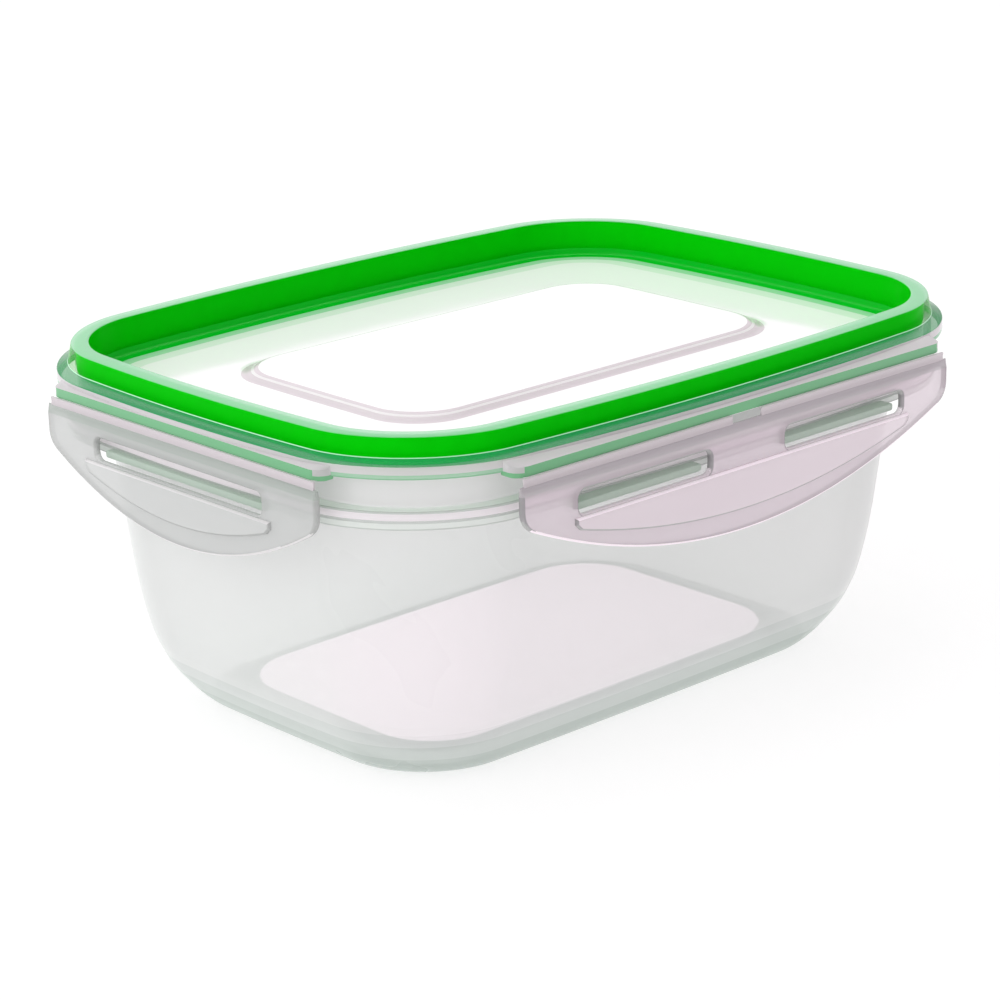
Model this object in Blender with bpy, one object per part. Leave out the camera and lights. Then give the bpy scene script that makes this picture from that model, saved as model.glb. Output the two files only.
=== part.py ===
"""Snap-lid food container: a clear tub, a clear lid with four hinged snap flaps, a seal ring.

Sizes are in millimetres with z = 0 at the rim top; everything is moved up by HEIGHT and
written in metres, so the foot stands on z = 0.  The long side lies along X.
"""
import math

import bmesh
import bpy
from mathutils import Matrix, Vector

MM = 0.001
HEIGHT = 80.0            # foot to rim top

# Rim outline in plan: a rounded rectangle whose sides bow outwards.
HALF_L = 82.0
HALF_W = 59.8
RIM_R = 24.0
BOW_L = 4.7              # bow of the two long sides
BOW_S = 3.6              # bow of the two short sides
CORNER_STEPS = 7
LONG_STEPS = 10
SHORT_STEPS = 8

GAP = 0.3                # between pieces that touch

# Living hinges: straight axes outside the flange.
AXIS_Y = 69.6
AXIS_X = 89.6
AXIS_Z = -9.0
WEB_T = 0.4              # web thickness
WEB_H = 0.8              # web height
WINDOW_HALF = 4.2        # window in the middle of the long hinges

# Hinge bars under the flange, each with a sloping top.
BAR_TOP = -5.1
BAR_BOT = AXIS_Z + 0.7

# Snap flaps.
FLAP_T = 1.6
FLAP_LONG = 62.4         # half length of the long flaps
FLAP_SHORT = 43.3        # half length of the short flaps
FLAP_TOP = AXIS_Z - 0.7
FLAP_END = -17.8         # lower edge at the ends
FLAP_R = 5.0             # lower corners
SAG_LONG = -32.6         # lower edge at mid length
SAG_SHORT = -30.9
SLOT_TOP = -13.6
SLOT_BOT = -18.4
LONG_SLOT = (11.0, 47.6)     # slot span either side of the middle
SHORT_SLOT = 26.8            # half span of the single short slot
PAD_T = 0.8              # finger pad below the slots
PAD_MARGIN = 4.8         # from its lower edge to the flap's, at mid length
PAD_END = -20.9          # its lower edge at the ends

# Catch tongues on the tub's ledge.
TONGUE_TOP = -16.5
TONGUE_BOT = -18.1
TONGUE_BACK = 3.2        # how far the tongue runs back into the ledge
TONGUE_SHORTER = 0.9

COLOURS = {
    "tub": ((0.80, 0.84, 0.81), 0.22, 0.55),
    "lid": ((0.86, 0.88, 0.87), 0.18, 0.55),
    "flap": ((0.82, 0.79, 0.82), 0.20, 0.55),
    "web": ((0.86, 0.86, 0.87), 0.25, 0.60),
    "gasket": ((0.0, 0.52, 0.02), 0.38, 1.0),
}


def clear_scene():
    """Remove whatever objects are in the scene."""
    for obj in list(bpy.data.objects):
        bpy.data.objects.remove(obj, do_unlink=True)


def plastic(name, kind):
    """A plain plastic of the given kind, one for each sub-part."""
    colour, rough, alpha = COLOURS[kind]
    mat = bpy.data.materials.new(name)
    mat.use_nodes = True
    bsdf = mat.node_tree.nodes["Principled BSDF"]
    bsdf.inputs["Base Color"].default_value = (*colour, 1.0)
    bsdf.inputs["Roughness"].default_value = rough
    bsdf.inputs["Metallic"].default_value = 0.0
    bsdf.inputs["Alpha"].default_value = alpha
    mat.diffuse_color = (*colour, 1.0)
    return mat


def plan(inset, radius=None, bow_l=BOW_L, bow_s=BOW_S):
    """Bowed rounded rectangle, counter-clockwise, inset from the rim outline."""
    a = HALF_L - inset
    b = HALF_W - inset
    r = RIM_R - inset if radius is None else radius
    pts = []
    sides = (LONG_STEPS, SHORT_STEPS, LONG_STEPS, SHORT_STEPS)
    centres = ((a - r, b - r), (r - a, b - r), (r - a, r - b), (a - r, r - b))
    for k, (cx, cy) in enumerate(centres):
        for i in range(CORNER_STEPS + 1):
            t = math.radians(90.0 * k + 90.0 * i / CORNER_STEPS)
            pts.append((cx + r * math.cos(t), cy + r * math.sin(t)))
        nx, ny = centres[(k + 1) % 4]
        t = math.radians(90.0 * (k + 1))
        end = (nx + r * math.cos(t), ny + r * math.sin(t))
        start = pts[-1]
        for i in range(1, sides[k]):
            f = i / sides[k]
            pts.append((start[0] + (end[0] - start[0]) * f, start[1] + (end[1] - start[1]) * f))
    out = []
    for x, y in pts:
        grow_y = math.copysign(bow_l * max(0.0, 1.0 - (x / HALF_L) ** 2), y)
        grow_x = math.copysign(bow_s * max(0.0, 1.0 - (y / HALF_W) ** 2), x)
        out.append((x + grow_x, y + grow_y))
    return out


def new_object(name, mesh_bm, kind, origin=(0.0, 0.0, 0.0)):
    """Turn a millimetre bmesh into a metre object whose origin is at the given point."""
    bmesh.ops.recalc_face_normals(mesh_bm, faces=mesh_bm.faces)
    shift = Vector((-origin[0], -origin[1], -origin[2]))
    bmesh.ops.transform(mesh_bm, matrix=Matrix.Translation(shift), verts=mesh_bm.verts)
    bmesh.ops.scale(mesh_bm, vec=(MM, MM, MM), verts=mesh_bm.verts)
    mesh = bpy.data.meshes.new(name)
    mesh_bm.to_mesh(mesh)
    mesh_bm.free()
    mesh.materials.append(plastic(name, kind))
    obj = bpy.data.objects.new(name, mesh)
    obj.location = (origin[0] * MM, origin[1] * MM, (origin[2] + HEIGHT) * MM)
    bpy.context.scene.collection.objects.link(obj)
    return obj


def loft(rings, closed):
    """Skin a list of (outline, z) rings; closed joins the last to the first, else both are capped."""
    bm = bmesh.new()
    rows = []
    for outline, z in rings:
        rows.append([bm.verts.new((x, y, z)) for x, y in outline])
    count = len(rows[0])
    last = len(rows) if closed else len(rows) - 1
    for i in range(last):
        low = rows[i]
        high = rows[(i + 1) % len(rows)]
        for j in range(count):
            k = (j + 1) % count
            bm.faces.new((low[j], low[k], high[k], high[j]))
    if not closed:
        bm.faces.new(rows[0])
        bm.faces.new(rows[-1])
    return bm


def boxes(parts):
    """Closed boxes given as (low corner, high corner)."""
    bm = bmesh.new()
    for low, high in parts:
        made = bmesh.ops.create_cube(bm, size=1.0)
        verts = made["verts"]
        size = [high[i] - low[i] for i in range(3)]
        mid = [(high[i] + low[i]) / 2.0 for i in range(3)]
        bmesh.ops.scale(bm, vec=size, verts=verts)
        bmesh.ops.translate(bm, vec=mid, verts=verts)
    return bm


def combine(obj, tool_bm, name, operation):
    """Boolean a millimetre bmesh into or out of an object, exactly."""
    tool = new_object(name, tool_bm, "web")
    tool.hide_render = True
    tool.display_type = "WIRE"
    mod = obj.modifiers.new(name, "BOOLEAN")
    mod.operation = operation
    mod.solver = "EXACT"
    mod.object = tool
    bpy.context.view_layer.update()
    graph = bpy.context.evaluated_depsgraph_get()
    done = bpy.data.meshes.new_from_object(obj.evaluated_get(graph))
    old = obj.data
    obj.modifiers.clear()
    obj.data = done
    bpy.data.meshes.remove(old)
    bpy.data.objects.remove(tool, do_unlink=True)


def side_map(side):
    """Return a function from (along, outward, z) to x, y, z for one side of the box."""
    if side == "front":
        return lambda u, o, z: (u, -AXIS_Y - o, z)
    if side == "back":
        return lambda u, o, z: (-u, AXIS_Y + o, z)
    if side == "left":
        return lambda u, o, z: (-AXIS_X - o, -u, z)
    return lambda u, o, z: (AXIS_X + o, u, z)


def side_box(side, u0, u1, o0, o1, z0, z1):
    """A box on one side, as low and high corners."""
    place = side_map(side)
    p = place(u0, o0, z0)
    q = place(u1, o1, z1)
    low = tuple(min(p[i], q[i]) for i in range(3))
    high = tuple(max(p[i], q[i]) for i in range(3))
    return low, high


def slot_spans(side):
    """Slot spans along one side."""
    if side in ("front", "back"):
        return ((-LONG_SLOT[1], -LONG_SLOT[0]), (LONG_SLOT[0], LONG_SLOT[1]))
    return ((-SHORT_SLOT, SHORT_SLOT),)


def make_tub():
    """Tub: rim wall, ledge with a down-turned skirt, tapering body, foot ring, raised floor."""
    rings = [
        # underside, from the raised floor panel out over the foot ring
        (plan(26.5, 15.0, 0.6, 0.6), -77.9),
        (plan(25.4, 15.6, 0.8, 0.8), -80.0),
        (plan(22.2, 18.4, 1.2, 1.6), -80.0),
        # outside, going up
        (plan(20.4, 19.4, 1.3, 2.2), -79.2),
        (plan(18.4, 20.4, 1.4, 2.8), -77.4),
        (plan(15.9, 21.4, 1.5, 3.2), -74.2),
        (plan(13.2, 22.6, 1.6, 3.6), -70.0),
        (plan(10.4, 24.0, 1.7, 3.9), -63.0),
        (plan(8.2, 25.4, 1.9, 4.1), -52.0),
        (plan(6.6, 26.0, 2.6, 4.0), -36.0),
        (plan(5.6, RIM_R - 0.0, 3.8, 3.7), -18.8),
        (plan(5.4), -15.6),
        # ledge underside, skirt and top
        (plan(-0.7), -15.6),
        (plan(-0.7), -18.0),
        (plan(-1.7), -18.0),
        (plan(-2.0), -17.6),
        (plan(-2.0), -14.7),
        (plan(-1.7), -14.3),
        # rim wall outside, top, inside
        (plan(1.1), -14.3),
        (plan(1.1), -6.4),
        (plan(1.4), -6.1),
        (plan(2.0), -6.1),
        (plan(2.3), -6.4),
        (plan(2.3), -14.3),
        # inside shoulder and inner wall, going down
        (plan(3.0), -15.2),
        (plan(6.8, RIM_R - 1.2, 3.8, 3.7), -18.8),
        (plan(7.9, 24.7, 2.6, 4.0), -36.0),
        (plan(9.6, 24.0, 1.9, 4.1), -52.0),
        (plan(11.9, 22.5, 1.7, 3.9), -62.6),
        (plan(14.7, 21.0, 1.6, 3.6), -69.0),
        (plan(17.6, 19.4, 1.5, 3.2), -73.0),
        (plan(20.4, 17.8, 1.4, 2.8), -75.6),
        (plan(24.0, 15.8, 1.2, 1.6), -77.2),
        (plan(25.8, 15.4, 0.8, 0.8), -77.4),
        (plan(27.0, 14.6, 0.6, 0.6), -76.2),
    ]
    obj = new_object("tub", loft(rings, closed=False), "tub")
    tongues = []
    for side in ("front", "back", "left", "right"):
        for u0, u1 in slot_spans(side):
            tongues.append(side_box(side, u0 + TONGUE_SHORTER, u1 - TONGUE_SHORTER,
                                    -FLAP_T / 2.0 - GAP - TONGUE_BACK, -FLAP_T / 2.0 - GAP,
                                    TONGUE_BOT, TONGUE_TOP))
    combine(obj, boxes(tongues), "tongues", "UNION")
    return obj


def make_lid():
    """Lid: sunk panel with a raised field, plug wall, rim channel, flange and hinge bars."""
    rings = [
        # underside of the panel, out to the plug wall
        (plan(29.6, 12.0, 0.5, 0.5), -7.8),
        (plan(28.4, 12.8, 0.5, 0.5), -9.4),
        (plan(5.2), -9.4),
        (plan(3.8), -9.0),
        # channel: plug wall outside, ceiling, outer wall inside
        (plan(3.6), -0.6),
        (plan(0.8), -0.6),
        (plan(0.8), -6.0),
        # flange underside and down-turned edge
        (plan(-2.5), -6.0),
        (plan(-2.6), -7.6),
        (plan(-3.5), -7.6),
        (plan(-3.6), -7.3),
        (plan(-3.6), -5.3),
        (plan(-3.3), -5.0),
        # outer wall and rim
        (plan(-0.9), -4.0),
        (plan(0.0), -0.45),
        (plan(0.45), 0.0),
        (plan(3.8), 0.0),
        (plan(4.3), -0.45),
        # recess wall and panel
        (plan(4.7), -7.7),
        (plan(5.4), -8.2),
        (plan(28.6, 12.4, 0.5, 0.5), -8.2),
        (plan(29.0, 12.2, 0.5, 0.5), -7.0),
        (plan(29.5, 12.0, 0.5, 0.5), -6.6),
    ]
    obj = new_object("lid", loft(rings, closed=False), "lid")
    for side in ("front", "back", "left", "right"):
        half = FLAP_LONG if side in ("front", "back") else FLAP_SHORT
        depth = 5.2 if side in ("front", "back") else 4.0
        outline = ((-half, BAR_BOT), (half, BAR_BOT), (half, BAR_TOP), (-half, BAR_TOP))
        bar = prism(outline, ((-depth, BAR_TOP), (-0.5, BAR_TOP - 1.1)), side_map(side))
        combine(obj, bar, "bar_" + side, "UNION")
    return obj


def make_gasket():
    """Seal ring: a bar in the channel with a thin inner lip against the plug wall."""
    rings = [
        (plan(1.1), -1.2),
        (plan(1.4), -0.9),
        (plan(3.0), -0.9),
        (plan(3.3), -1.2),
        (plan(3.45), -8.1),
        (plan(3.15), -8.4),
        (plan(2.8), -8.1),
        (plan(2.65), -6.0),
        (plan(2.4), -5.8),
        (plan(1.3), -5.8),
        (plan(1.1), -5.6),
    ]
    return new_object("gasket", loft(rings, closed=True), "gasket")


def make_web(name, side, u0, u1):
    """One living hinge web: a thin strip between the lid's hinge bar and the flap."""
    low, high = side_box(side, u0, u1, -WEB_T / 2.0, WEB_T / 2.0,
                         AXIS_Z - WEB_H / 2.0, AXIS_Z + WEB_H / 2.0)
    return new_object(name, boxes([(low, high)]), "web")


def arc_edge(half, end_z, mid_z, margin_u=0.0, steps=16):
    """Sagging lower edge from -half to +half as (u, z) points."""
    pts = []
    for i in range(steps + 1):
        u = (-1.0 + 2.0 * i / steps) * (half - margin_u)
        z = mid_z + (end_z - mid_z) * (u / half) ** 2
        pts.append((u, z))
    return pts


def prism(outline, layers, place):
    """Extrude an outline of (u, z) through (outward, outline offset) layers."""
    bm = bmesh.new()
    rows = []
    for o, shrink_top in layers:
        row = []
        for u, z in outline:
            row.append(bm.verts.new(place(u, o, min(z, shrink_top))))
        rows.append(row)
    count = len(outline)
    for i in range(len(rows) - 1):
        for j in range(count):
            k = (j + 1) % count
            bm.faces.new((rows[i][j], rows[i][k], rows[i + 1][k], rows[i + 1][j]))
    bm.faces.new(rows[0])
    bm.faces.new(rows[-1])
    return bm


def rounded_ends(half, top_z, low_arc):
    """Closed outline: top edge, then ends with rounded lower corners, then the sagging edge."""
    end_z = low_arc[0][1]
    r = FLAP_R
    pts = []
    left = []
    for i in range(6):
        t = math.radians(90.0 * i / 5)
        left.append((-half + r - r * math.cos(t), end_z + r - r * math.sin(t)))
    for u, z in left:
        pts.append((u, z))
    for u, z in low_arc[1:-1]:
        pts.append((u, z))
    for u, z in reversed(left):
        pts.append((-u, z))
    pts.append((half, top_z))
    pts.append((-half, top_z))
    return pts


def slot_cutter(side, u0, u1):
    """A cutter with rounded ends for one slot."""
    place = side_map(side)
    r = 1.6
    pts = []
    for cu, cz, t0 in ((u1 - r, SLOT_TOP - r, 0), (u0 + r, SLOT_TOP - r, 90),
                       (u0 + r, SLOT_BOT + r, 180), (u1 - r, SLOT_BOT + r, 270)):
        for i in range(5):
            t = math.radians(t0 + 90.0 * i / 4)
            pts.append((cu + r * math.cos(t), cz + r * math.sin(t)))
    return prism(pts, ((-3.0, 99.0), (3.0, 99.0)), place)


def make_flap(name, side):
    """One snap flap: plate with a chamfered top, slots, and a finger pad below the slots."""
    long_side = side in ("front", "back")
    half = FLAP_LONG if long_side else FLAP_SHORT
    mid_z = SAG_LONG if long_side else SAG_SHORT
    place = side_map(side)
    low_arc = arc_edge(half, FLAP_END, mid_z, margin_u=FLAP_R)
    outline = rounded_ends(half, FLAP_TOP, low_arc)
    t = FLAP_T / 2.0
    layers = ((-t, FLAP_TOP - 1.6), (-0.3, FLAP_TOP), (0.3, FLAP_TOP), (t, FLAP_TOP - 1.6))
    origin = place(0.0, 0.0, AXIS_Z)
    obj = new_object(name, prism(outline, layers, place), "flap", origin)
    pad_half = half - 13.4
    pad_top = SLOT_BOT - 0.3
    pad_arc = arc_edge(pad_half, PAD_END, mid_z + PAD_MARGIN, steps=12)
    pad_outline = list(pad_arc) + [(pad_half, pad_top), (-pad_half, pad_top)]
    pad = prism(pad_outline, ((t - 0.5, 99.0), (t + PAD_T - 0.25, 99.0), (t + PAD_T, 99.0)), place)
    combine(obj, pad, name + "_pad", "UNION")
    for i, (u0, u1) in enumerate(slot_spans(side)):
        combine(obj, slot_cutter(side, u0, u1), name + "_slot%d" % i, "DIFFERENCE")
    return obj


def smooth(obj, degrees=30.0):
    """Shade round faces smooth and keep real edges sharp."""
    for poly in obj.data.polygons:
        poly.use_smooth = True
    bm = bmesh.new()
    bm.from_mesh(obj.data)
    limit = math.radians(degrees)
    for edge in bm.edges:
        if len(edge.link_faces) == 2:
            edge.smooth = edge.calc_face_angle(0.0) < limit
    bm.to_mesh(obj.data)
    bm.free()


def build():
    """Build every sub-part."""
    clear_scene()
    made = [make_tub(), make_lid(), make_gasket()]
    for side in ("front", "back"):
        made.append(make_web("web_%s_a" % side, side, -FLAP_LONG + 1.0, -WINDOW_HALF))
        made.append(make_web("web_%s_b" % side, side, WINDOW_HALF, FLAP_LONG - 1.0))
    for side in ("left", "right"):
        made.append(make_web("web_%s" % side, side, -FLAP_SHORT + 1.0, FLAP_SHORT - 1.0))
    for side in ("front", "back", "left", "right"):
        made.append(make_flap("flap_%s" % side, side))
    for obj in made:
        smooth(obj)


build()
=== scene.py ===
"""Looks of the snap-lid food container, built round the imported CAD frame."""
import math

import bmesh
import bpy
from mathutils import Matrix, Vector


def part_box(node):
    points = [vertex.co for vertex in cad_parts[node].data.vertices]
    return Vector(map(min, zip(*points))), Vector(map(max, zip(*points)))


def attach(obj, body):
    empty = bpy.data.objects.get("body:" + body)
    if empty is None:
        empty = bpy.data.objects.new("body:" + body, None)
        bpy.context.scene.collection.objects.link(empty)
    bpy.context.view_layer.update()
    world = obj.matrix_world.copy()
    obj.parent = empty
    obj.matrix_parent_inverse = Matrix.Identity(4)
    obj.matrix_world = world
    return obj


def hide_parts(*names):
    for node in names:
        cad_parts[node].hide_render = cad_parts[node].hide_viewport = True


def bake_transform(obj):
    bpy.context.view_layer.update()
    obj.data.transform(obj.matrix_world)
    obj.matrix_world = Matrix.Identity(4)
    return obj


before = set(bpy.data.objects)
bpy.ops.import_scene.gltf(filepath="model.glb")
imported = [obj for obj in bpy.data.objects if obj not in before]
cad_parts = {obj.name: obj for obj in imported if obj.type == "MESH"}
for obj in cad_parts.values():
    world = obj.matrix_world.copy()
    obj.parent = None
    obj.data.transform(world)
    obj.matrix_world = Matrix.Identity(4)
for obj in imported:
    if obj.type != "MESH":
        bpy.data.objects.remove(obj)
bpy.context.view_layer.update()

MM = 0.001
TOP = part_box("lid")[1].z / MM            # rim top above the foot, in millimetres

# ---------------------------------------------------------------- camera
AZ, EL, ROLL = -42.672, 18.044, -1.1845  # viewing angle, degrees
LENS = 108.96
DIST = 0.52706
TARGET = Vector((-0.08986, -0.09386, TOP * MM))


def make_camera():
    """The camera at the viewing angle of the reference view."""
    a, e, r = (math.radians(v) for v in (AZ, EL, ROLL))
    back = Vector((math.sin(a) * math.cos(e), -math.cos(a) * math.cos(e), math.sin(e)))
    right = (-back).cross(Vector((0, 0, 1))).normalized()
    up = right.cross(-back)
    right, up = (right * math.cos(r) + up * math.sin(r), up * math.cos(r) - right * math.sin(r))
    cam = bpy.data.objects.new("camera", bpy.data.cameras.new("camera"))
    cam.data.lens = LENS
    cam.data.sensor_width = 36.0
    rot = Matrix((right, up, back)).transposed().to_4x4()
    cam.matrix_world = Matrix.Translation(TARGET + back * DIST) @ rot
    cam.data.clip_start = 0.01
    cam.data.clip_end = 50.0
    bpy.context.scene.collection.objects.link(cam)
    bpy.context.scene.camera = cam


# ---------------------------------------------------------------- dimensions, mm, z = 0 at the rim top
HALF_L, HALF_W, RIM_R = 82.0, 59.8, 24.0
BOW_L, BOW_S = 4.7, 3.6
AXIS_Y, AXIS_X, AXIS_Z = 69.6, 89.6, -9.0
BAR_TOP, BAR_BOT, BAR_ROUND = -5.1, AXIS_Z + 0.7, 3.2
FLAP_T, FLAP_LONG, FLAP_SHORT = 1.6, 62.4, 43.3
FLAP_TOP, FLAP_END, FLAP_R = AXIS_Z - 0.7, -17.8, 5.0
SAG_LONG, SAG_SHORT = -32.6, -30.9
SLOT_TOP, SLOT_BOT, SLOT_R = -13.6, -18.4, 1.6
LONG_SLOT, SHORT_SLOT = (11.0, 47.6), 26.8
PAD_T, PAD_MARGIN, PAD_END = 0.8, 4.8, -20.9
TONGUE_TOP, TONGUE_BOT, TONGUE_SHORTER = -16.5, -18.1, 0.9
PAD_SHORTER, PAD_ROOT, PAD_CORNER = 13.4, 1.0, 1.2
TOP_TAPER, TOP_TAPER_H = 0.62, 1.8        # share of its thickness a flap loses, over its top millimetres
BAND_H = 2.2                              # height of the band of painted shade along a flap's top
TONGUE_BACK, TONGUE_FRONT, TONGUE_R = -4.3, -1.1, 0.5
BAR_SLOPE, BAR_SPARE, BAR_EDGE_H = 1.1, 0.8, 1.0
BAR_LONG, BAR_SHORT = (5.2, -0.5), (4.0, -0.3)   # depth and front face of a hinge bar
WEB_REACH, WEB_HALF, WEB_SWELL, WEB_NECK = 0.85, 0.13, 0.10, 0.6
WEB_CLEAR, WINDOW_HALF, WEB_BEND = 1.0, 4.2, 0.4
CORNER_STEPS, LONG_STEPS, SHORT_STEPS = 26, 40, 30
MERGE = 0.0005                            # points closer than this are one point
SLOTS = 16                                # material slots kept through a Boolean
LONG_SIDES = ("front", "back")
SIDES = LONG_SIDES + ("left", "right")


def plan(inset, radius=None, bow_l=BOW_L, bow_s=BOW_S):
    """Bowed rounded rectangle, counter-clockwise, inset from the rim outline."""
    a, b = HALF_L - inset, HALF_W - inset
    r = RIM_R - inset if radius is None else radius
    sides = (LONG_STEPS, SHORT_STEPS, LONG_STEPS, SHORT_STEPS)
    centres = ((a - r, b - r), (r - a, b - r), (r - a, r - b), (a - r, r - b))
    pts = []
    for k, (cx, cy) in enumerate(centres):
        for i in range(CORNER_STEPS + 1):
            t = math.radians(90.0 * k + 90.0 * i / CORNER_STEPS)
            pts.append((cx + r * math.cos(t), cy + r * math.sin(t)))
        nx, ny = centres[(k + 1) % 4]
        t = math.radians(90.0 * (k + 1))
        end = (nx + r * math.cos(t), ny + r * math.sin(t))
        sx, sy = pts[-1]
        for i in range(1, sides[k]):
            f = i / sides[k]
            pts.append((sx + (end[0] - sx) * f, sy + (end[1] - sy) * f))
    out = []
    for x, y in pts:
        gy = math.copysign(bow_l * max(0.0, 1.0 - (x / HALF_L) ** 2), y)
        gx = math.copysign(bow_s * max(0.0, 1.0 - (y / HALF_W) ** 2), x)
        out.append((x + gx, y + gy))
    return out


def row(inset, z, soft=0.3, zone="", edge="", radius=None, bow_l=BOW_L, bow_s=BOW_S):
    """One corner of a cross-section: place, softening length, finish of the next wall and the edge."""
    corner = RIM_R - inset if radius is None else radius
    return ((inset, corner, bow_l, bow_s, z), soft, zone, edge)


def soften(profile, closed, steps=6):
    """Round each corner of a cross-section over its softening length; gives (values, finish) rings."""
    out = []
    count = len(profile)
    zones = []
    for cur in profile:
        zones.append(cur[2] or zones[-1])
    for i, (cur, soft, _, edge) in enumerate(profile):
        if not closed and i in (0, count - 1):
            out.append((cur, zones[i]))
            continue
        arms = []
        for other, _, _, _ in (profile[i - 1], profile[(i + 1) % count]):
            length = math.hypot(other[0] - cur[0], other[4] - cur[4])
            t = min(soft / max(length, 1e-6), 0.49)
            arms.append([c + (o - c) * t for c, o in zip(cur, other)])
        for s in range(steps + 1):
            f = s / steps
            values = tuple((1 - f) ** 2 * a + 2 * f * (1 - f) * c + f * f * b
                           for a, c, b in zip(arms[0], cur, arms[1]))
            zone = zones[i - 1] if s < steps / 2 else zones[i]
            # an edge finish paints a line of highlight or shade along the rounded corner
            if edge and s < steps:
                zone = edge
            out.append((values, zone))
    return out


def finish_mesh(name, bm, angle=32.0):
    """Turn a millimetre bmesh (z = 0 at the rim) into a smooth-shaded metre object."""
    bmesh.ops.remove_doubles(bm, verts=bm.verts, dist=MERGE)
    bmesh.ops.recalc_face_normals(bm, faces=bm.faces)
    bmesh.ops.translate(bm, vec=(0, 0, TOP), verts=bm.verts)
    bmesh.ops.scale(bm, vec=(MM, MM, MM), verts=bm.verts)
    mesh = bpy.data.meshes.new(name)
    bm.to_mesh(mesh)
    bm.free()
    obj = bpy.data.objects.new(name, mesh)
    bpy.context.scene.collection.objects.link(obj)
    shade(obj, angle)
    return obj


def shade(obj, angle=32.0):
    """Smooth shading with real edges kept sharp."""
    bm = bmesh.new()
    bm.from_mesh(obj.data)
    for f in bm.faces:
        f.smooth = True
    for e in bm.edges:
        e.smooth = len(e.link_faces) != 2 or e.calc_face_angle(0.0) < math.radians(angle)
    bm.to_mesh(obj.data)
    bm.free()


def skin(name, profile, finishes, closed=False):
    """Sweep a cross-section round its outline; open sections are capped flat at both ends."""
    bm = bmesh.new()
    rings = soften(profile, closed)
    rows = []
    for (inset, radius, bow_l, bow_s, z), _ in rings:
        rows.append([bm.verts.new((x, y, z)) for x, y in plan(inset, radius, bow_l, bow_s)])
    count = len(rows[0])
    for i in range(len(rows) if closed else len(rows) - 1):
        low, high = rows[i], rows[(i + 1) % len(rows)]
        for j in range(count):
            k = (j + 1) % count
            face = bm.faces.new((low[j], low[k], high[k], high[j]))
            face.material_index = finishes.index(rings[i][1])
    if not closed:
        bm.faces.new(rows[0]).material_index = finishes.index(rings[0][1])
        bm.faces.new(rows[-1]).material_index = finishes.index(rings[-1][1])
    return finish_mesh(name, bm)


def boolean(obj, tool, operation, finish=0):
    """Apply an exact Boolean with a closed tool object of the given finish, then drop the tool."""
    for mesh in (obj.data, tool.data):
        while len(mesh.materials) < SLOTS:
            mesh.materials.append(None)
    for poly in tool.data.polygons:
        poly.material_index = finish
    mod = obj.modifiers.new("bool", "BOOLEAN")
    mod.operation = operation
    mod.solver = "EXACT"
    mod.object = tool
    bpy.context.view_layer.update()
    graph = bpy.context.evaluated_depsgraph_get()
    done = bpy.data.meshes.new_from_object(obj.evaluated_get(graph))
    obj.modifiers.clear()
    obj.data = done
    bpy.data.objects.remove(tool, do_unlink=True)
    shade(obj)


def side_map(side):
    """Function from (along, outward, z) to x, y, z for one side of the box."""
    return {
        "front": lambda u, o, z: (u, -AXIS_Y - o, z),
        "back": lambda u, o, z: (-u, AXIS_Y + o, z),
        "left": lambda u, o, z: (-AXIS_X - o, -u, z),
        "right": lambda u, o, z: (AXIS_X + o, u, z),
    }[side]


def cut(bm, point, normal):
    """Split a mesh along a plane, keeping both halves."""
    bmesh.ops.bisect_plane(bm, geom=bm.verts[:] + bm.edges[:] + bm.faces[:], dist=MERGE,
                           plane_co=point, plane_no=normal)


def slab(name, side, outlines, o0, o1, bevel, res=3):
    """A round-edged plate between two outward offsets; outlines after the first are holes."""
    curve = bpy.data.curves.new(name, "CURVE")
    curve.dimensions = "2D"
    curve.fill_mode = "BOTH"
    curve.extrude = (o1 - o0) / 2.0 - bevel
    curve.bevel_depth = bevel
    curve.bevel_resolution = res
    curve.offset = -bevel
    for outline in outlines:
        spline = curve.splines.new("POLY")
        spline.points.add(len(outline) - 1)
        for p, (u, z) in zip(spline.points, outline):
            p.co = (u, z, 0.0, 1.0)
        spline.use_cyclic_u = True
    tmp = bpy.data.objects.new(name + "_curve", curve)
    bpy.context.scene.collection.objects.link(tmp)
    bpy.context.view_layer.update()
    mesh = bpy.data.meshes.new_from_object(tmp.evaluated_get(bpy.context.evaluated_depsgraph_get()))
    bpy.data.objects.remove(tmp, do_unlink=True)
    bpy.data.curves.remove(curve)
    bm = bmesh.new()
    bm.from_mesh(mesh)
    bpy.data.meshes.remove(mesh)
    bmesh.ops.remove_doubles(bm, verts=bm.verts, dist=0.001)
    place = side_map(side)
    mid = (o0 + o1) / 2.0
    for v in bm.verts:
        v.co = Vector(place(v.co.x, mid + v.co.z, v.co.y))
    return bm


def arc_edge(half, end_z, mid_z, margin=0.0, steps=40):
    """Sagging lower edge from -half to +half as (u, z) points."""
    return [(u, mid_z + (end_z - mid_z) * (u / half) ** 2)
            for u in [(-1.0 + 2.0 * i / steps) * (half - margin) for i in range(steps + 1)]]


def rounded_box(u0, u1, z0, z1, r, steps=8):
    """Closed (u, z) outline of a rounded rectangle."""
    pts = []
    centres = ((u1 - r, z1 - r), (u0 + r, z1 - r), (u0 + r, z0 + r), (u1 - r, z0 + r))
    for k, (cu, cz) in enumerate(centres):
        for i in range(steps + 1):
            t = math.radians(90.0 * k + 90.0 * i / steps)
            pts.append((cu + r * math.cos(t), cz + r * math.sin(t)))
    return pts


def slot_spans(side):
    """Slot spans along one side."""
    if side in LONG_SIDES:
        return ((-LONG_SLOT[1], -LONG_SLOT[0]), (LONG_SLOT[0], LONG_SLOT[1]))
    return ((-SHORT_SLOT, SHORT_SLOT),)


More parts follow.
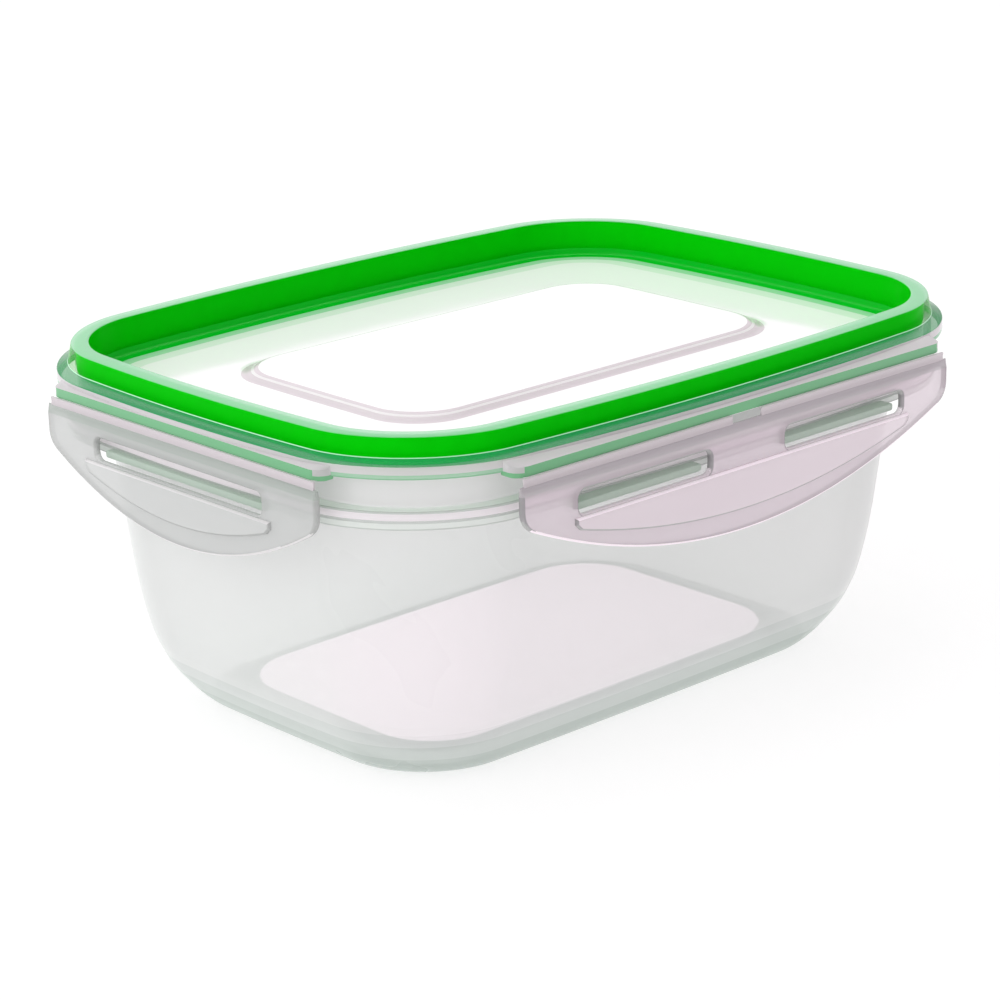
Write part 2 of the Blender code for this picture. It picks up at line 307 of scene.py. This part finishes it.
# ---------------------------------------------------------------- pieces
TUB_FINISHES = ["body", "inside", "floor_panel", "foot", "base", "base_fade", "base_pale",
                "rim_wall", "ledge", "ledge_painted_highlight", "ledge_painted_edge_shade", "tongue"]
LID_FINISHES = ["clear", "rim_top", "painted_glint", "painted_highlight", "slope", "flange", "flange_low", "panel",
                "panel_edge", "panel_fade", "panel_rim", "field", "field_low", "bar"]
FLAP_FINISHES = ["flap", "band", "painted_highlight", "side", "painted_underside_shade", "pad"]


def make_tub():
    """Tub with rim wall, ledge, skirt, tapering body, foot ring and raised floor."""
    profile = [
        row(26.5, -77.9, 0.4, "foot", "", 15.0, 0.6, 0.6),
        row(25.4, -80.0, 0.5, "", "", 15.6, 0.8, 0.8),
        row(22.2, -80.0, 1.2, "", "", 18.4, 1.2, 1.6),
        row(20.4, -79.2, 3.0, "base", "", 19.4, 1.3, 2.2),
        row(18.4, -77.4, 3.0, "", "", 20.4, 1.4, 2.8),
        row(15.9, -74.2, 4.0, "base_fade", "", 21.4, 1.5, 3.2),
        row(13.2, -70.0, 5.0, "base_pale", "", 22.6, 1.6, 3.6),
        row(11.9, -67.0, 4.0, "body", "", 23.3, 1.65, 3.75),
        row(10.4, -63.0, 6.0, "", "", 24.0, 1.7, 3.9),
        row(8.2, -52.0, 9.0, "", "", 25.4, 1.9, 4.1),
        row(6.6, -36.0, 9.0, "", "", 26.0, 2.6, 4.0),
        row(5.6, -18.8, 1.0, "", "", 24.0, 3.8, 3.7),
        row(5.4, -15.6, 0.8),
        row(-0.7, -15.6, 0.3),
        row(-0.7, -18.0, 0.25),
        # the ledge bead gets painted shade lines at its edges and a painted highlight band on its front
        row(-2.0, -18.0, 0.35, "ledge", "ledge_painted_edge_shade"),
        row(-2.0, -16.6, 0.12, "ledge_painted_edge_shade"),
        row(-1.75, -16.5, 0.12),
        row(-1.75, -16.1, 0.12, "ledge_painted_highlight"),
        row(-2.0, -15.9, 0.12),
        row(-2.0, -14.3, 0.4, "ledge", "ledge_painted_edge_shade"),
        row(1.1, -14.3, 0.5, "rim_wall"),
        row(1.1, -6.1, 0.45),
        row(2.3, -6.1, 0.45),
        row(2.3, -14.3, 1.2, "inside"),
        row(6.8, -18.8, 1.5, "", "", 22.8, 3.8, 3.7),
        row(7.9, -36.0, 9.0, "", "", 24.7, 2.6, 4.0),
        row(9.6, -52.0, 9.0, "", "", 24.0, 1.9, 4.1),
        row(11.9, -62.6, 6.0, "", "", 22.5, 1.7, 3.9),
        row(14.7, -69.0, 5.0, "", "", 21.0, 1.6, 3.6),
        row(17.6, -73.0, 4.0, "", "", 19.4, 1.5, 3.2),
        row(20.4, -75.6, 3.0, "", "", 17.8, 1.4, 2.8),
        row(24.0, -77.2, 1.5, "", "", 15.8, 1.2, 1.6),
        row(27.2, -77.4, 0.5, "", "", 15.4, 1.4, 0.8),
        row(28.4, -76.4, 0.5, "floor_panel", "", 14.6, 1.4, 0.6),
        row(30.4, -76.2, 0.4, "", "", 12.8, 1.4, 0.6),
    ]
    tub = skin("tub_shell", profile, TUB_FINISHES)
    for side in SIDES:
        for u0, u1 in slot_spans(side):
            outline = rounded_box(u0 + TONGUE_SHORTER, u1 - TONGUE_SHORTER,
                                  TONGUE_BOT, TONGUE_TOP, TONGUE_R, 4)
            bm = slab("tongue", side, [outline], TONGUE_BACK, TONGUE_FRONT, 0.25)
            boolean(tub, finish_mesh("tongue", bm), "UNION", TUB_FINISHES.index("tongue"))
    return tub


def make_bar(side):
    """Hinge bar of one side: sloping top, ends rounded into the flange."""
    long_side = side in LONG_SIDES
    half, axis = (FLAP_LONG, AXIS_Y) if long_side else (FLAP_SHORT, AXIS_X)
    back, front = BAR_LONG if long_side else BAR_SHORT
    along, across = (0, 1) if long_side else (1, 0)
    outline = rounded_box(-half, half, BAR_BOT, BAR_TOP + BAR_SPARE, 0.3, 4)
    bm = slab("bar", side, [outline], -back, front, 0.25)
    normal = [1.0 - along, along, 0.0]
    for i in range(1, 12):
        for end in (-1, 1):
            point = [0.0, 0.0, 0.0]
            point[along] = end * (half - BAR_ROUND * (1.0 - math.sin(math.radians(i * 7.5))))
            cut(bm, point, normal)
    cut(bm, (0, 0, BAR_BOT + BAR_EDGE_H), (0, 0, 1))
    for v in bm.verts:
        depth = (axis - abs(v.co[across])) / back
        if v.co.z > BAR_TOP - 1.2:
            v.co.z = min(v.co.z, BAR_TOP) - BAR_SLOPE * (1.0 - depth)
        near = min(1.0, max(0.0, (abs(v.co[along]) - half + BAR_ROUND) / BAR_ROUND))
        shift = BAR_ROUND * (1.0 - math.sqrt(1.0 - near * near)) * (1.0 - max(0.0, depth))
        v.co[across] = math.copysign(abs(v.co[across]) - shift, v.co[across])
    return bm


def bar_finish(poly):
    """Name of the finish for one face of a hinge bar; its top and ends match the flange, its lower outer
    edge takes a painted highlight.
    """
    x, y = (abs(v) / MM for v in poly.center.xy)
    end = abs(poly.normal.x) if y > 60.0 else abs(poly.normal.y)
    high = poly.center.z / MM - TOP > BAR_BOT + BAR_EDGE_H - 0.1
    if poly.normal.z > 0.3 or (end > 0.3 and high):
        return "flange"
    outer = min(AXIS_X - x, AXIS_Y - y) < 0.9
    # painted highlight on the bar's lower outer edge
    return "painted_highlight" if poly.normal.z < -0.25 and outer else "bar"


def make_lid():
    """Lid: sunk panel with raised field, plug wall, rim channel, flange and hinge bars."""
    profile = [
        row(31.0, -7.8, 0.3, "panel", "", 12.0, 0.3, 1.4),
        row(29.2, -9.4, 0.5, "", "", 12.8, 0.3, 1.5),
        row(3.9, -9.4, 0.9, "clear"),
        row(3.6, -0.3, 0.4),
        row(0.8, -0.3, 0.3),
        row(0.8, -6.0, 0.3),
        row(-2.5, -6.0, 0.3),
        row(-2.6, -7.6, 0.2, "flange_low"),
        row(-3.6, -7.6, 0.35, "", "flange_low"),
        row(-3.6, -6.6, 0.3, "flange"),
        row(-3.6, -5.0, 0.4, "slope"),
        # painted highlight line along the foot of the outer wall
        row(-0.9, -4.0, 0.11, "clear", "painted_glint"),
        row(0.0, -0.12, 0.4, "rim_top"),
        row(4.25, 0.0, 0.45, "clear"),
        row(4.7, -6.6, 0.1, "panel_edge"),
        row(4.8, -8.2, 0.9),
        row(7.6, -8.2, 0.1, "panel_fade"),
        row(10.4, -8.2, 0.1, "panel_rim"),
        row(14.0, -8.2, 0.1, "panel"),
        row(28.6, -8.2, 1.2, "field", "", 12.4, 0.3, 1.5),
        row(30.0, -7.3, 0.4, "field_low", "", 12.2, 0.3, 1.5),
        row(30.9, -6.75, 0.5, "panel", "field", 12.0, 0.3, 1.5),
        row(31.6, -6.6, 0.4, "", "", 11.6, 0.3, 1.4),
        row(33.6, -6.6, 0.4, "", "", 10.0, 0.3, 1.2),
    ]
    lid = skin("lid_shell", profile, LID_FINISHES)
    for side in SIDES:
        boolean(lid, finish_mesh("bar", make_bar(side)), "UNION", LID_FINISHES.index("bar"))
    for poly in lid.data.polygons:
        if poly.material_index == LID_FINISHES.index("bar"):
            poly.material_index = LID_FINISHES.index(bar_finish(poly))
    return lid


def make_gasket():
    """Seal ring: a bar in the channel and a thin lip against the plug wall."""
    profile = [
        row(1.05, -0.42, 0.3, "seal"),
        row(3.35, -0.42, 0.3),
        row(3.45, -8.4, 0.3),
        row(2.8, -8.4, 0.3),
        row(2.6, -5.8, 0.3),
        row(1.1, -5.8, 0.3),
    ]
    return skin("seal_ring", profile, ["seal"], closed=True)


def flap_finish(side, poly):
    """Name of the finish for one face of a flap, from where it is and which way it faces; top, end and
    down-facing faces get painted shade, the lower outer edges a painted highlight.
    """
    out = Vector(side_map(side)(0, 1, 0)) - Vector(side_map(side)(0, 0, 0))
    facing = poly.normal.dot(out)
    depth = (poly.center / MM).dot(out) - (AXIS_Y if side in LONG_SIDES else AXIS_X)
    z = poly.center.z / MM - TOP
    # the top of the flap under the hinge bar gets painted shade
    if z > FLAP_TOP - BAND_H:
        return "band"
    if facing > 0.97:
        return "pad" if depth > FLAP_T / 2.0 + 0.3 else "flap"
    if facing < -0.9:
        return "flap"
    if poly.normal.z > 0.3:
        return "painted_highlight" if depth > FLAP_T / 2.0 and z < SLOT_BOT else "flap"
    # faces that look down get painted shade, except the lower outer edge
    if poly.normal.z < -0.3:
        lower_edge = facing > 0.15 and depth < FLAP_T / 2.0 + 0.1 and z < SLOT_BOT
        return "painted_highlight" if lower_edge else "painted_underside_shade"
    # end and slot walls get painted shade
    return "side"


def flap_outline(half, mid_z):
    """Outline of a flap: straight top and sides, round lower corners, sagging lower edge."""
    tip = 0.0
    for _ in range(6):
        slope = math.atan(2.0 * (FLAP_END - mid_z) * (half - tip) / half ** 2)
        tip = FLAP_R * (1.0 - math.sin(slope))
    arc = arc_edge(half, FLAP_END, mid_z, tip)
    centre_z = arc[0][1] + FLAP_R * math.cos(slope)
    corner = []
    for i in range(10):
        t = (math.pi / 2.0 - slope) * i / 10
        corner.append((-half + FLAP_R - FLAP_R * math.cos(t), centre_z - FLAP_R * math.sin(t)))
    mirrored = [(-u, z) for u, z in reversed(corner)]
    return corner + arc + mirrored + [(half, FLAP_TOP), (-half, FLAP_TOP)]


def pad_outline(half, mid_z):
    """Outline of a finger pad: straight top, sagging lower edge parallel to the flap's."""
    arc = arc_edge(half, PAD_END, mid_z + PAD_MARGIN, PAD_CORNER)
    top, low = SLOT_BOT - 0.3, arc[0][1] + PAD_CORNER
    return [(-half, top), (-half, low)] + arc + [(half, low), (half, top)]


def make_flap(side):
    """One snap flap with slots, a tapered top and a finger pad."""
    long_side = side in LONG_SIDES
    half, mid_z, axis = (FLAP_LONG, SAG_LONG, AXIS_Y) if long_side else (FLAP_SHORT, SAG_SHORT, AXIS_X)
    holes = [rounded_box(u0, u1, SLOT_BOT, SLOT_TOP, SLOT_R) for u0, u1 in slot_spans(side)]
    t = FLAP_T / 2.0
    bm = slab("flap", side, [flap_outline(half, mid_z)] + holes, -t, t, 0.7, 6)
    taper_z = FLAP_TOP - TOP_TAPER_H
    cut(bm, (0, 0, taper_z), (0, 0, 1))
    k = 1 if long_side else 0
    for v in bm.verts:
        f = max(0.0, (v.co.z - taper_z) / TOP_TAPER_H)
        if f > 0.0:
            o = (abs(v.co[k]) - axis) * (1.0 - TOP_TAPER * f)
            v.co[k] = math.copysign(axis + o, v.co[k])
    flap = finish_mesh("flap_%s_plate" % side, bm)
    outline = pad_outline(half - PAD_SHORTER, mid_z)
    pad = slab("pad", side, [outline], t - PAD_ROOT, t + PAD_T, 0.55, 5)
    boolean(flap, finish_mesh("pad", pad), "UNION")
    for poly in flap.data.polygons:
        poly.material_index = FLAP_FINISHES.index(flap_finish(side, poly))
    return flap


def make_web(name, side, u0, u1):
    """One living hinge web, thinnest along the hinge line."""
    bm = bmesh.new()
    place = side_map(side)
    rows = []
    steps = 14
    for i in range(steps + 1):
        z = AXIS_Z + WEB_REACH * (1.0 - 2.0 * i / steps)
        w = WEB_HALF + WEB_SWELL * min(1.0, abs(z - AXIS_Z) / WEB_NECK) ** 2
        corners = ((u0, -w), (u1, -w), (u1, w), (u0, w))
        rows.append([bm.verts.new(place(u, o, z)) for u, o in corners])
    for a, b in zip(rows[:-1], rows[1:]):
        for j in range(4):
            k = (j + 1) % 4
            bm.faces.new((a[j], a[k], b[k], b[j]))
    bm.faces.new(rows[0])
    bm.faces.new(rows[-1])
    return finish_mesh(name, bm)


# ---------------------------------------------------------------- materials
# finish: tint, density of the haze (how opaque), roughness, specular level, painted self-light standing
# in for light falling on the part
FINISHES = {
    # the last column is painted light: self-light that lifts parts sitting in shade, most on the floor
    # panel, the rim wall and the ledge
    "body": ((0.725, 0.74, 0.73), 0.50, 0.3, 0.25, 0.075),
    "inside": ((0.86, 0.88, 0.87), 0.06, 0.3, 0.25, 0.0),
    "floor_panel": ((1.0, 0.885, 0.955), 1.8, 0.3, 0.2, 0.30),
    "foot": ((0.50, 0.57, 0.53), 0.8, 0.3, 0.3, 0.0),
    "base": ((0.52, 0.585, 0.545), 0.36, 0.3, 0.25, 0.02),
    "base_fade": ((0.60, 0.65, 0.62), 0.40, 0.3, 0.25, 0.04),
    "base_pale": ((0.67, 0.70, 0.685), 0.45, 0.3, 0.25, 0.06),
    "rim_wall": ((0.72, 0.715, 0.72), 0.8, 0.2, 0.3, 0.18),
    "ledge": ((0.74, 0.79, 0.75), 0.7, 0.2, 0.3, 0.12),
    # painted highlight band on the front of the ledge bead
    "ledge_painted_highlight": ((0.82, 0.76, 0.80), 1.0, 0.2, 0.3, 0.1),
    # painted shade on flap faces that look down
    "painted_underside_shade": ((0.42, 0.43, 0.42), 0.9, 0.2, 0.3, 0.0),
    "tongue": ((0.50, 0.60, 0.52), 1.0, 0.2, 0.3, 0.08),
    # lid zones, one clear plastic: clear, rim_top, slope, flange_low and bar are tinted green as painted
    # reflection of the seal
    "clear": ((0.0, 0.60, 0.0), 0.10, 0.05, 0.05, 0.0),
    "rim_top": ((0.34, 0.80, 0.46), 0.5, 0.08, 0.3, 0.0),
    # painted highlight line along the foot of the rim's outer wall
    "painted_glint": ((0.60, 0.98, 0.72), 1.6, 0.08, 0.4, 0.0),
    # painted highlight on the lower outer edges of flaps and bars and on the pad's top edge
    "painted_highlight": ((0.98, 0.87, 0.94), 1.6, 0.08, 0.4, 0.06),
    "slope": ((0.015, 0.36, 0.12), 0.72, 0.08, 0.2, 0.0),
    "flange": ((0.70, 0.66, 0.69), 1.0, 0.10, 0.4, 0.0),
    "flange_low": ((0.28, 0.58, 0.36), 1.0, 0.10, 0.4, 0.0),
    # painted light: the near-opaque white and self-light stand in for the bright light seen through the
    # lid's centre
    "panel": ((0.99, 0.985, 0.99), 2.0, 0.10, 0.5, 0.12),
    # painted shade along the raised field's step
    "field": ((0.84, 0.74, 0.80), 0.9, 0.15, 0.3, 0.0),
    "bar": ((0.20, 0.52, 0.27), 1.2, 0.10, 0.4, 0.0),
    # long flaps: the mauve is partly the plastic's tint and partly painted pinkish light from the front
    "flap": ((0.82, 0.71, 0.78), 0.40, 0.14, 0.4, 0.0),
    "pad": ((0.86, 0.76, 0.82), 0.62, 0.14, 0.4, 0.0),
    # painted shade along a flap's top, under the hinge bar
    "band": ((0.52, 0.48, 0.51), 0.8, 0.14, 0.4, 0.0),
    # painted shade on a flap's end faces and slot walls
    "side": ((0.30, 0.29, 0.30), 1.8, 0.14, 0.4, 0.0),
    "web": ((0.68, 0.62, 0.655), 0.85, 0.2, 0.4, 0.03),
    # short flaps: copies of the flap finishes, a shade greyer as painted light from the neutral left
    # side
    "flap_short": ((0.62, 0.63, 0.625), 0.48, 0.14, 0.3, 0.0),
    "pad_short": ((0.64, 0.65, 0.645), 0.70, 0.14, 0.3, 0.0),
    "band_short": ((0.46, 0.50, 0.47), 0.7, 0.14, 0.3, 0.0),
    "painted_highlight_short": ((0.80, 0.78, 0.79), 0.9, 0.08, 0.3, 0.0),
    "side_short": ((0.45, 0.46, 0.45), 0.9, 0.14, 0.3, 0.0),
    # painted shade: dark lines along the ledge's edges
    "ledge_painted_edge_shade": ((0.56, 0.60, 0.57), 0.8, 0.2, 0.3, 0.0),
    # painted reflection of the seal: green on the plug wall, fading to white across the panel's edge
    "panel_edge": ((0.0, 0.60, 0.02), 1.8, 0.10, 0.1, 0.0),
    "panel_fade": ((0.45, 0.86, 0.55), 1.6, 0.10, 0.3, 0.0),
    "panel_rim": ((0.86, 0.97, 0.88), 1.8, 0.10, 0.4, 0.06),
    # painted highlight on the raised field's lower rise
    "field_low": ((0.95, 0.90, 0.93), 1.6, 0.15, 0.3, 0.04),
}
SLANT = {"slope": 0.6}                   # least slant counted, for a band that stays clear edge-on
MADE = {}


def noise(nt, scale, detail, distortion=0.0):
    """Procedural noise in the piece's own coordinates."""
    coord = nt.nodes.new("ShaderNodeTexCoord")
    node = nt.nodes.new("ShaderNodeTexNoise")
    node.inputs["Scale"].default_value = scale
    node.inputs["Detail"].default_value = detail
    node.inputs["Distortion"].default_value = distortion
    nt.links.new(coord.outputs["Object"], node.inputs["Vector"])
    return node.outputs["Fac"]


def vary_colour(nt, factor, low, high):
    """Base colour between two shades, by a noise."""
    mix = nt.nodes.new("ShaderNodeMix")
    mix.data_type = "RGBA"
    mix.inputs["A"].default_value = (*low, 1.0)
    mix.inputs["B"].default_value = (*high, 1.0)
    nt.links.new(factor, mix.inputs["Factor"])
    nt.links.new(mix.outputs["Result"], nt.nodes["Principled BSDF"].inputs["Base Color"])


def vary_roughness(nt, factor, low, high):
    """Roughness between two values, by the middle of a noise's range."""
    ramp = nt.nodes.new("ShaderNodeMapRange")
    ramp.inputs["From Min"].default_value = 0.3
    ramp.inputs["From Max"].default_value = 0.7
    ramp.inputs["To Min"].default_value = low
    ramp.inputs["To Max"].default_value = high
    nt.links.new(factor, ramp.inputs["Value"])
    nt.links.new(ramp.outputs["Result"], nt.nodes["Principled BSDF"].inputs["Roughness"])


def roughen(nt, height, strength, distance):
    """Fine relief of the surface, by a noise."""
    bump = nt.nodes.new("ShaderNodeBump")
    bump.inputs["Strength"].default_value = strength
    bump.inputs["Distance"].default_value = distance
    nt.links.new(height, bump.inputs["Height"])
    nt.links.new(bump.outputs["Normal"], nt.nodes["Principled BSDF"].inputs["Normal"])


def haze(nt, density, least):
    """Less see-through where a ray crosses the wall at a slant and so meets more plastic."""
    facing = nt.nodes.new("ShaderNodeLayerWeight")
    facing.inputs["Blend"].default_value = 0.5
    value = facing.outputs["Facing"]
    steps = (("SUBTRACT", 1.0, None), ("MAXIMUM", None, least), ("DIVIDE", -density, None),
             ("EXPONENT", None, None), ("SUBTRACT", 1.0, None))
    for kind, first, second in steps:
        node = nt.nodes.new("ShaderNodeMath")
        node.operation = kind
        if first is not None:
            node.inputs[0].default_value = first
        if second is not None:
            node.inputs[1].default_value = second
        nt.links.new(value, node.inputs[1 if first is not None else 0])
        value = node.outputs["Value"]
    nt.links.new(value, nt.nodes["Principled BSDF"].inputs["Alpha"])


def plastic(name):
    """Hazy moulded plastic of one finish, with faint flow marks, a fine moulded skin and painted
    self-light.
    """
    if name in MADE:
        return MADE[name]
    tint, density, rough, specular, painted_glow = FINISHES[name]
    mat = MADE[name] = bpy.data.materials.new("plastic_" + name)
    mat.use_nodes = True
    nt = mat.node_tree
    bsdf = nt.nodes["Principled BSDF"]
    flow = noise(nt, 18.0, 3.0, 1.2)
    vary_roughness(nt, flow, rough * 0.85, rough * 1.2)
    vary_colour(nt, flow, [c * 0.97 for c in tint], tint)
    roughen(nt, noise(nt, 900.0, 2.0), 0.12, 0.00003)
    bsdf.inputs["Specular IOR Level"].default_value = specular
    bsdf.inputs["IOR"].default_value = 1.49
    # painted light: the part lights itself in its own tint
    bsdf.inputs["Emission Color"].default_value = (*tint, 1.0)
    bsdf.inputs["Emission Strength"].default_value = painted_glow
    haze(nt, density, SLANT.get(name, 0.12))
    return mat


def rubber(name):
    """Bright green elastomer with a fine matt skin."""
    mat = bpy.data.materials.new(name)
    mat.use_nodes = True
    nt = mat.node_tree
    bsdf = nt.nodes["Principled BSDF"]
    skin_noise = noise(nt, 260.0, 4.0)
    vary_colour(nt, skin_noise, (0.0, 0.67, 0.0), (0.0, 0.79, 0.002))
    roughen(nt, skin_noise, 0.3, 0.00005)
    bsdf.inputs["Roughness"].default_value = 0.42
    bsdf.inputs["Specular IOR Level"].default_value = 0.03
    return mat


def matte_floor():
    """Plain pale floor."""
    mat = bpy.data.materials.new("floor")
    mat.use_nodes = True
    bsdf = mat.node_tree.nodes["Principled BSDF"]
    bsdf.inputs["Base Color"].default_value = (0.38, 0.38, 0.38, 1.0)
    bsdf.inputs["Roughness"].default_value = 0.9
    bsdf.inputs["Specular IOR Level"].default_value = 0.1
    bsdf.inputs["Emission Color"].default_value = (1, 1, 1, 1)
    bsdf.inputs["Emission Strength"].default_value = 0.68
    return mat


# ---------------------------------------------------------------- stage
KEY_PLACE, KEY_SIZE, KEY_POWER = (-1.1, 0.0, 0.7), 0.7, 2.2


def light_world(nt):
    """Studio surround: white from the left, back and above, dimmer and pinkish in front."""
    back = nt.nodes["Background"]
    coord = nt.nodes.new("ShaderNodeTexCoord")
    lean = nt.nodes.new("ShaderNodeVectorMath")
    lean.operation = "DOT_PRODUCT"
    lean.inputs[1].default_value = (-0.55, 0.65, 0.30)
    nt.links.new(coord.outputs["Generated"], lean.inputs[0])
    scale = nt.nodes.new("ShaderNodeMapRange")
    scale.inputs["From Min"].default_value = -1.0
    scale.inputs["From Max"].default_value = 1.0
    nt.links.new(lean.outputs["Value"], scale.inputs["Value"])
    ramp = nt.nodes.new("ShaderNodeValToRGB")
    ramp.color_ramp.elements[0].position = 0.05
    ramp.color_ramp.elements[0].color = (0.52, 0.43, 0.48, 1)
    ramp.color_ramp.elements[1].position = 0.62
    ramp.color_ramp.elements[1].color = (1, 1, 1, 1)
    nt.links.new(scale.outputs["Result"], ramp.inputs["Fac"])
    path = nt.nodes.new("ShaderNodeLightPath")
    mix = nt.nodes.new("ShaderNodeMix")
    mix.data_type = "RGBA"
    mix.inputs["B"].default_value = (1, 1, 1, 1)
    nt.links.new(path.outputs["Is Camera Ray"], mix.inputs["Factor"])
    nt.links.new(ramp.outputs["Color"], mix.inputs["A"])
    nt.links.new(mix.outputs["Result"], back.inputs["Color"])
    back.inputs["Strength"].default_value = 1.0


def make_stage():
    """Pale floor and soft studio light."""
    bm = bmesh.new()
    bmesh.ops.create_circle(bm, cap_ends=True, radius=6.0, segments=64)
    mesh = bpy.data.meshes.new("floor")
    bm.to_mesh(mesh)
    bm.free()
    floor = bpy.data.objects.new("floor", mesh)
    floor.location = (0, 0, -0.0002)
    bpy.context.scene.collection.objects.link(floor)
    mesh.materials.append(matte_floor())
    world = bpy.data.worlds.new("studio")
    world.use_nodes = True
    light_world(world.node_tree)
    bpy.context.scene.world = world
    light = bpy.data.lights.new("key", "AREA")
    light.energy = KEY_POWER
    light.size = KEY_SIZE
    key = bpy.data.objects.new("key", light)
    key.location = KEY_PLACE
    key.rotation_mode = "QUATERNION"
    key.rotation_quaternion = (Vector((0, 0, TOP * MM / 2.0)) - key.location).to_track_quat("-Z", "Y")
    bpy.context.scene.collection.objects.link(key)


def dress(obj, materials, body, node):
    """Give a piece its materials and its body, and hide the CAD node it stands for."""
    index = [poly.material_index for poly in obj.data.polygons]
    obj.data.materials.clear()
    for material in materials:
        obj.data.materials.append(material)
    obj.data.polygons.foreach_set("material_index", index)
    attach(obj, body)
    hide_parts(node)


def short_finish(name):
    """The short flaps' copy of a finish, a shade greyer as painted light, where there is one."""
    return name + "_short" if name + "_short" in FINISHES else name


def hang_web(node, side, u0, u1):
    """A straight hinge web strip at the hinge line between the lid and its flap."""
    web = make_web(node + "_strip", side, u0, u1)
    web.data.materials.append(plastic("web"))
    place = side_map(side)
    start = Vector(place(0, 0, AXIS_Z + WEB_BEND + TOP)) * MM
    end = Vector(place(0, 0, AXIS_Z - WEB_BEND + TOP)) * MM
    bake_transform(web)
    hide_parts(node)


def build():
    """Build every piece."""
    make_camera()
    make_stage()
    bpy.context.scene.view_settings.view_transform = "Standard"
    dress(make_tub(), [plastic(name) for name in TUB_FINISHES], "tub", "tub")
    dress(make_lid(), [plastic(name) for name in LID_FINISHES], "lid", "lid")
    dress(make_gasket(), [rubber("seal_rubber")], "lid", "gasket")
    for side in SIDES:
        long_side = side in LONG_SIDES
        # short flaps take the greyer painted-light copies of the finishes
        names = FLAP_FINISHES if long_side else [short_finish(name) for name in FLAP_FINISHES]
        node = "flap_%s" % side
        dress(make_flap(side), [plastic(name) for name in names], node, node)
        half = FLAP_LONG if long_side else FLAP_SHORT
        spans = (("", WEB_CLEAR - half, half - WEB_CLEAR),)
        if long_side:
            spans = (("_a", WEB_CLEAR - half, -WINDOW_HALF), ("_b", WINDOW_HALF, half - WEB_CLEAR))
        for tag, u0, u1 in spans:
            hang_web("web_%s%s" % (side, tag), side, u0, u1)


build()
